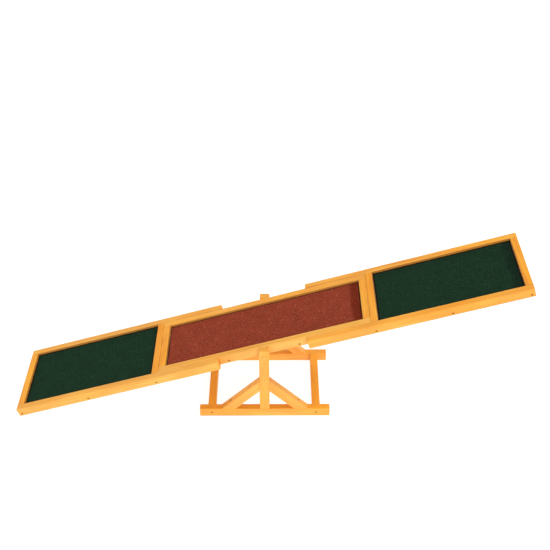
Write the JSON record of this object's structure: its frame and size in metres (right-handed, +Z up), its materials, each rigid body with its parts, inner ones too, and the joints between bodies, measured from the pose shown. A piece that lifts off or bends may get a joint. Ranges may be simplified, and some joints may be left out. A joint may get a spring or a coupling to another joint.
{
  "type": "dog agility seesaw",
  "caption": "Wooden seesaw plank in framed sections with green and red grip sheets, tilting on a bolt pivot between two braced posts on a ground frame.",
  "frame": {"origin": "on the ground, under the pivot, midway between the two posts", "axes": "+X along the plank towards the end that is raised at rest, +Y from the front post to the back post, +Z up; the pivot's axis is along Y"},
  "size_m": [1.7268, 0.3136, 0.5668],
  "materials": {
    "pine": "honey stained softwood, satin",
    "board": "raw thin plywood",
    "green_grip": "dark green mineral grit on felt, matt",
    "red_grip": "brick red mineral grit on felt, matt",
    "steel": "zinc plated"
  },
  "bodies": {
    "stand": {"back_ground_rail": "pine", "back_left_brace": "pine", "back_left_ground_screw": "steel", "back_nut_washer": "steel", "back_pivot_bolt": "steel", "back_pivot_nut": "steel", "back_post": "pine", "back_right_brace": "pine", "back_right_ground_screw": "steel", "back_spacer_washer": "steel", "front_ground_rail": "pine", "front_left_brace": "pine", "front_left_ground_screw": "steel", "front_nut_washer": "steel", "front_pivot_bolt": "steel", "front_pivot_nut": "steel", "front_post": "pine", "front_right_brace": "pine", "front_right_ground_screw": "steel", "front_spacer_washer": "steel", "left_ground_rail": "pine", "right_ground_rail": "pine"},
    "plank": {"centre_back_side_rail": "pine", "centre_deck_board": "board", "centre_front_side_rail": "pine", "centre_grip_sheet": "red_grip", "centre_left_batten": "pine", "centre_left_end_rail": "pine", "centre_right_batten": "pine", "centre_right_end_rail": "pine", "left_back_batten_screw": "steel", "left_back_inner_screw": "steel", "left_back_joining_screw": "steel", "left_back_outer_screw": "steel", "left_back_side_rail": "pine", "left_deck_batten": "pine", "left_deck_board": "board", "left_front_batten_screw": "steel", "left_front_inner_screw": "steel", "left_front_joining_screw": "steel", "left_front_outer_screw": "steel", "left_front_side_rail": "pine", "left_grip_sheet": "green_grip", "left_inner_end_rail": "pine", "left_outer_end_rail": "pine", "right_back_batten_screw": "steel", "right_back_inner_screw": "steel", "right_back_joining_screw": "steel", "right_back_outer_screw": "steel", "right_back_side_rail": "pine", "right_deck_batten": "pine", "right_deck_board": "board", "right_front_batten_screw": "steel", "right_front_inner_screw": "steel", "right_front_joining_screw": "steel", "right_front_outer_screw": "steel", "right_front_side_rail": "pine", "right_grip_sheet": "green_grip", "right_inner_end_rail": "pine", "right_outer_end_rail": "pine"}
  },
  "joints": [
    {"name": "plank_tilt", "type": "hinge", "parent": "stand", "child": "plank", "pos_m": [0, 0, 0.276], "axis": [0, 1, 0], "range_deg": [0, 34.7]}
  ]
}
